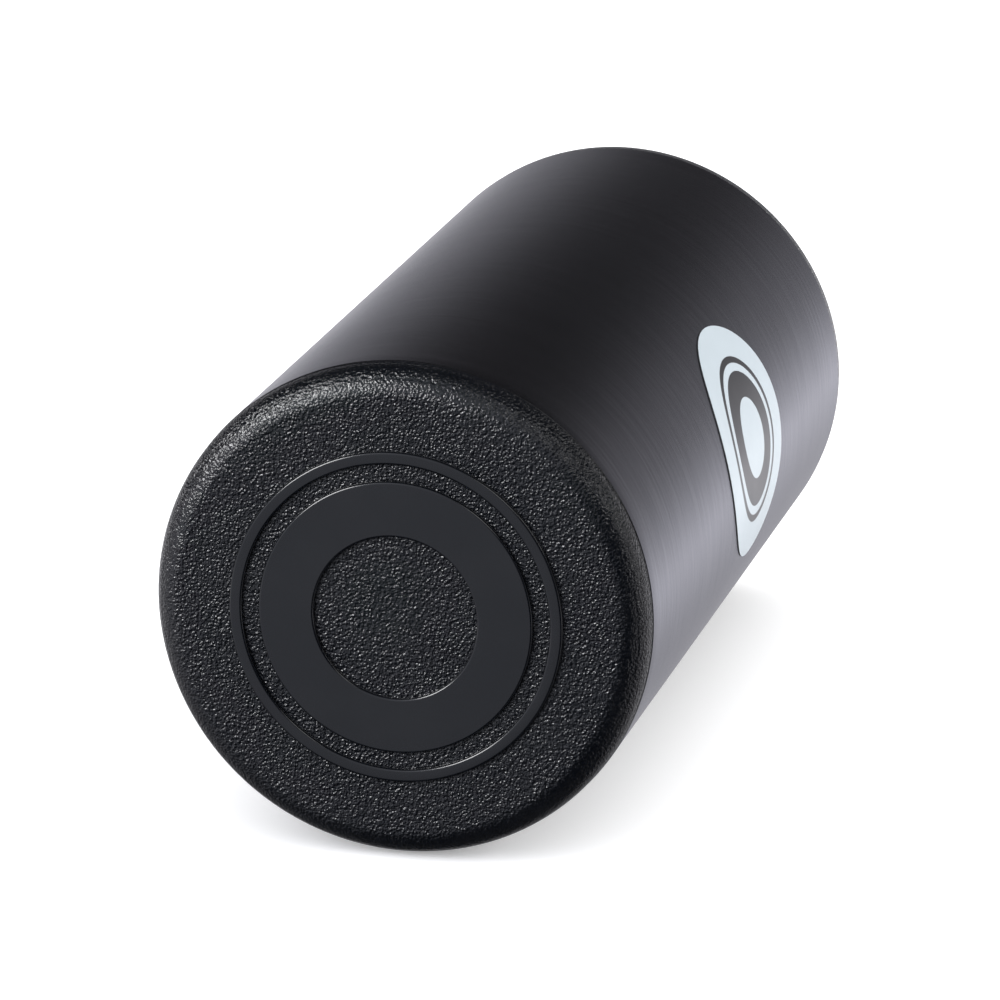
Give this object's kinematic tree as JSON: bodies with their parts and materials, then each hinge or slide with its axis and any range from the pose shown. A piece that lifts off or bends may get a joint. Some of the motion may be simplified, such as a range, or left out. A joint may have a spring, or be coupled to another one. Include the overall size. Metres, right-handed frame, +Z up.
{
  "type": "percussion shaker",
  "caption": "Hand percussion shaker: a black brushed aluminium tube closed by two grained plastic end caps, with loose steel shot inside and a round white sticker on its side.",
  "frame": {"origin": "on the surface that the shaker lies on, under the middle of the tube", "axes": "+Y along the tube from the front cap to the rear cap, +Z up, +X towards the sticker"},
  "size_m": [0.0538, 0.109, 0.0537],
  "materials": {
    "anodised_tube": "black anodised, finely brushed round the axis, satin",
    "cap_plastic": "black moulded plastic, coarse grain on the face and rim, smooth raised rings",
    "sticker_vinyl": "white vinyl, satin, with a plain dark ring print",
    "steel_shot": "ground steel balls"
  },
  "bodies": {
    "shell": {"tube": "anodised_tube", "front_cap": "cap_plastic", "rear_cap": "cap_plastic", "side_sticker": "sticker_vinyl"},
    "shot_1_01": {"shot_1_01": "steel_shot"},
    "shot_1_02": {"shot_1_02": "steel_shot"},
    "shot_1_03": {"shot_1_03": "steel_shot"},
    "shot_1_04": {"shot_1_04": "steel_shot"},
    "shot_1_05": {"shot_1_05": "steel_shot"},
    "shot_1_06": {"shot_1_06": "steel_shot"},
    "shot_1_07": {"shot_1_07": "steel_shot"},
    "shot_1_08": {"shot_1_08": "steel_shot"},
    "shot_1_09": {"shot_1_09": "steel_shot"},
    "shot_1_10": {"shot_1_10": "steel_shot"},
    "shot_1_11": {"shot_1_11": "steel_shot"},
    "shot_2_01": {"shot_2_01": "steel_shot"},
    "shot_2_02": {"shot_2_02": "steel_shot"},
    "shot_2_03": {"shot_2_03": "steel_shot"},
    "shot_2_04": {"shot_2_04": "steel_shot"},
    "shot_2_05": {"shot_2_05": "steel_shot"},
    "shot_2_06": {"shot_2_06": "steel_shot"},
    "shot_2_07": {"shot_2_07": "steel_shot"},
    "shot_2_08": {"shot_2_08": "steel_shot"},
    "shot_2_09": {"shot_2_09": "steel_shot"},
    "shot_2_10": {"shot_2_10": "steel_shot"},
    "shot_2_11": {"shot_2_11": "steel_shot"},
    "shot_3_01": {"shot_3_01": "steel_shot"},
    "shot_3_02": {"shot_3_02": "steel_shot"},
    "shot_3_03": {"shot_3_03": "steel_shot"},
    "shot_3_04": {"shot_3_04": "steel_shot"},
    "shot_3_05": {"shot_3_05": "steel_shot"},
    "shot_3_06": {"shot_3_06": "steel_shot"},
    "shot_3_07": {"shot_3_07": "steel_shot"},
    "shot_3_08": {"shot_3_08": "steel_shot"},
    "shot_3_09": {"shot_3_09": "steel_shot"},
    "shot_3_10": {"shot_3_10": "steel_shot"},
    "shot_3_11": {"shot_3_11": "steel_shot"},
    "shot_4_01": {"shot_4_01": "steel_shot"},
    "shot_4_02": {"shot_4_02": "steel_shot"},
    "shot_4_03": {"shot_4_03": "steel_shot"},
    "shot_4_04": {"shot_4_04": "steel_shot"},
    "shot_4_05": {"shot_4_05": "steel_shot"},
    "shot_4_06": {"shot_4_06": "steel_shot"},
    "shot_4_07": {"shot_4_07": "steel_shot"},
    "shot_4_08": {"shot_4_08": "steel_shot"},
    "shot_4_09": {"shot_4_09": "steel_shot"},
    "shot_4_10": {"shot_4_10": "steel_shot"},
    "shot_4_11": {"shot_4_11": "steel_shot"},
    "shot_5_01": {"shot_5_01": "steel_shot"},
    "shot_5_02": {"shot_5_02": "steel_shot"},
    "shot_5_03": {"shot_5_03": "steel_shot"},
    "shot_5_04": {"shot_5_04": "steel_shot"},
    "shot_5_05": {"shot_5_05": "steel_shot"},
    "shot_5_06": {"shot_5_06": "steel_shot"},
    "shot_5_07": {"shot_5_07": "steel_shot"},
    "shot_5_08": {"shot_5_08": "steel_shot"},
    "shot_5_09": {"shot_5_09": "steel_shot"},
    "shot_5_10": {"shot_5_10": "steel_shot"},
    "shot_5_11": {"shot_5_11": "steel_shot"}
  },
  "joints": [
    {"name": "shot_1_01_flight", "type": "slide", "parent": "shell", "child": "shot_1_01", "axis": [0, 0, 1], "range_m": [0, 0.04222]},
    {"name": "shot_1_02_flight", "type": "slide", "parent": "shell", "child": "shot_1_02", "axis": [0, 0, 1], "range_m": [0, 0.04222]},
    {"name": "shot_1_03_flight", "type": "slide", "parent": "shell", "child": "shot_1_03", "axis": [0, 0, 1], "range_m": [0, 0.04222]},
    {"name": "shot_1_04_flight", "type": "slide", "parent": "shell", "child": "shot_1_04", "axis": [0, 0, 1], "range_m": [0, 0.04222]},
    {"name": "shot_1_05_flight", "type": "slide", "parent": "shell", "child": "shot_1_05", "axis": [0, 0, 1], "range_m": [0, 0.04222]},
    {"name": "shot_1_06_flight", "type": "slide", "parent": "shell", "child": "shot_1_06", "axis": [0, 0, 1], "range_m": [0, 0.04222]},
    {"name": "shot_1_07_flight", "type": "slide", "parent": "shell", "child": "shot_1_07", "axis": [0, 0, 1], "range_m": [0, 0.04222]},
    {"name": "shot_1_08_flight", "type": "slide", "parent": "shell", "child": "shot_1_08", "axis": [0, 0, 1], "range_m": [0, 0.04222]},
    {"name": "shot_1_09_flight", "type": "slide", "parent": "shell", "child": "shot_1_09", "axis": [0, 0, 1], "range_m": [0, 0.04222]},
    {"name": "shot_1_10_flight", "type": "slide", "parent": "shell", "child": "shot_1_10", "axis": [0, 0, 1], "range_m": [0, 0.04222]},
    {"name": "shot_1_11_flight", "type": "slide", "parent": "shell", "child": "shot_1_11", "axis": [0, 0, 1], "range_m": [0, 0.04222]},
    {"name": "shot_2_01_flight", "type": "slide", "parent": "shell", "child": "shot_2_01", "axis": [0, 0, 1], "range_m": [0, 0.045]},
    {"name": "shot_2_02_flight", "type": "slide", "parent": "shell", "child": "shot_2_02", "axis": [0, 0, 1], "range_m": [0, 0.045]},
    {"name": "shot_2_03_flight", "type": "slide", "parent": "shell", "child": "shot_2_03", "axis": [0, 0, 1], "range_m": [0, 0.045]},
    {"name": "shot_2_04_flight", "type": "slide", "parent": "shell", "child": "shot_2_04", "axis": [0, 0, 1], "range_m": [0, 0.045]},
    {"name": "shot_2_05_flight", "type": "slide", "parent": "shell", "child": "shot_2_05", "axis": [0, 0, 1], "range_m": [0, 0.045]},
    {"name": "shot_2_06_flight", "type": "slide", "parent": "shell", "child": "shot_2_06", "axis": [0, 0, 1], "range_m": [0, 0.045]},
    {"name": "shot_2_07_flight", "type": "slide", "parent": "shell", "child": "shot_2_07", "axis": [0, 0, 1], "range_m": [0, 0.045]},
    {"name": "shot_2_08_flight", "type": "slide", "parent": "shell", "child": "shot_2_08", "axis": [0, 0, 1], "range_m": [0, 0.045]},
    {"name": "shot_2_09_flight", "type": "slide", "parent": "shell", "child": "shot_2_09", "axis": [0, 0, 1], "range_m": [0, 0.045]},
    {"name": "shot_2_10_flight", "type": "slide", "parent": "shell", "child": "shot_2_10", "axis": [0, 0, 1], "range_m": [0, 0.045]},
    {"name": "shot_2_11_flight", "type": "slide", "parent": "shell", "child": "shot_2_11", "axis": [0, 0, 1], "range_m": [0, 0.045]},
    {"name": "shot_3_01_flight", "type": "slide", "parent": "shell", "child": "shot_3_01", "axis": [0, 0, 1], "range_m": [0, 0.0459]},
    {"name": "shot_3_02_flight", "type": "slide", "parent": "shell", "child": "shot_3_02", "axis": [0, 0, 1], "range_m": [0, 0.0459]},
    {"name": "shot_3_03_flight", "type": "slide", "parent": "shell", "child": "shot_3_03", "axis": [0, 0, 1], "range_m": [0, 0.0459]},
    {"name": "shot_3_04_flight", "type": "slide", "parent": "shell", "child": "shot_3_04", "axis": [0, 0, 1], "range_m": [0, 0.0459]},
    {"name": "shot_3_05_flight", "type": "slide", "parent": "shell", "child": "shot_3_05", "axis": [0, 0, 1], "range_m": [0, 0.0459]},
    {"name": "shot_3_06_flight", "type": "slide", "parent": "shell", "child": "shot_3_06", "axis": [0, 0, 1], "range_m": [0, 0.0459]},
    {"name": "shot_3_07_flight", "type": "slide", "parent": "shell", "child": "shot_3_07", "axis": [0, 0, 1], "range_m": [0, 0.0459]},
    {"name": "shot_3_08_flight", "type": "slide", "parent": "shell", "child": "shot_3_08", "axis": [0, 0, 1], "range_m": [0, 0.0459]},
    {"name": "shot_3_09_flight", "type": "slide", "parent": "shell", "child": "shot_3_09", "axis": [0, 0, 1], "range_m": [0, 0.0459]},
    {"name": "shot_3_10_flight", "type": "slide", "parent": "shell", "child": "shot_3_10", "axis": [0, 0, 1], "range_m": [0, 0.0459]},
    {"name": "shot_3_11_flight", "type": "slide", "parent": "shell", "child": "shot_3_11", "axis": [0, 0, 1], "range_m": [0, 0.0459]},
    {"name": "shot_4_01_flight", "type": "slide", "parent": "shell", "child": "shot_4_01", "axis": [0, 0, 1], "range_m": [0, 0.045]},
    {"name": "shot_4_02_flight", "type": "slide", "parent": "shell", "child": "shot_4_02", "axis": [0, 0, 1], "range_m": [0, 0.045]},
    {"name": "shot_4_03_flight", "type": "slide", "parent": "shell", "child": "shot_4_03", "axis": [0, 0, 1], "range_m": [0, 0.045]},
    {"name": "shot_4_04_flight", "type": "slide", "parent": "shell", "child": "shot_4_04", "axis": [0, 0, 1], "range_m": [0, 0.045]},
    {"name": "shot_4_05_flight", "type": "slide", "parent": "shell", "child": "shot_4_05", "axis": [0, 0, 1], "range_m": [0, 0.045]},
    {"name": "shot_4_06_flight", "type": "slide", "parent": "shell", "child": "shot_4_06", "axis": [0, 0, 1], "range_m": [0, 0.045]},
    {"name": "shot_4_07_flight", "type": "slide", "parent": "shell", "child": "shot_4_07", "axis": [0, 0, 1], "range_m": [0, 0.045]},
    {"name": "shot_4_08_flight", "type": "slide", "parent": "shell", "child": "shot_4_08", "axis": [0, 0, 1], "range_m": [0, 0.045]},
    {"name": "shot_4_09_flight", "type": "slide", "parent": "shell", "child": "shot_4_09", "axis": [0, 0, 1], "range_m": [0, 0.045]},
    {"name": "shot_4_10_flight", "type": "slide", "parent": "shell", "child": "shot_4_10", "axis": [0, 0, 1], "range_m": [0, 0.045]},
    {"name": "shot_4_11_flight", "type": "slide", "parent": "shell", "child": "shot_4_11", "axis": [0, 0, 1], "range_m": [0, 0.045]},
    {"name": "shot_5_01_flight", "type": "slide", "parent": "shell", "child": "shot_5_01", "axis": [0, 0, 1], "range_m": [0, 0.04222]},
    {"name": "shot_5_02_flight", "type": "slide", "parent": "shell", "child": "shot_5_02", "axis": [0, 0, 1], "range_m": [0, 0.04222]},
    {"name": "shot_5_03_flight", "type": "slide", "parent": "shell", "child": "shot_5_03", "axis": [0, 0, 1], "range_m": [0, 0.04222]},
    {"name": "shot_5_04_flight", "type": "slide", "parent": "shell", "child": "shot_5_04", "axis": [0, 0, 1], "range_m": [0, 0.04222]},
    {"name": "shot_5_05_flight", "type": "slide", "parent": "shell", "child": "shot_5_05", "axis": [0, 0, 1], "range_m": [0, 0.04222]},
    {"name": "shot_5_06_flight", "type": "slide", "parent": "shell", "child": "shot_5_06", "axis": [0, 0, 1], "range_m": [0, 0.04222]},
    {"name": "shot_5_07_flight", "type": "slide", "parent": "shell", "child": "shot_5_07", "axis": [0, 0, 1], "range_m": [0, 0.04222]},
    {"name": "shot_5_08_flight", "type": "slide", "parent": "shell", "child": "shot_5_08", "axis": [0, 0, 1], "range_m": [0, 0.04222]},
    {"name": "shot_5_09_flight", "type": "slide", "parent": "shell", "child": "shot_5_09", "axis": [0, 0, 1], "range_m": [0, 0.04222]},
    {"name": "shot_5_10_flight", "type": "slide", "parent": "shell", "child": "shot_5_10", "axis": [0, 0, 1], "range_m": [0, 0.04222]},
    {"name": "shot_5_11_flight", "type": "slide", "parent": "shell", "child": "shot_5_11", "axis": [0, 0, 1], "range_m": [0, 0.04222]}
  ]
}
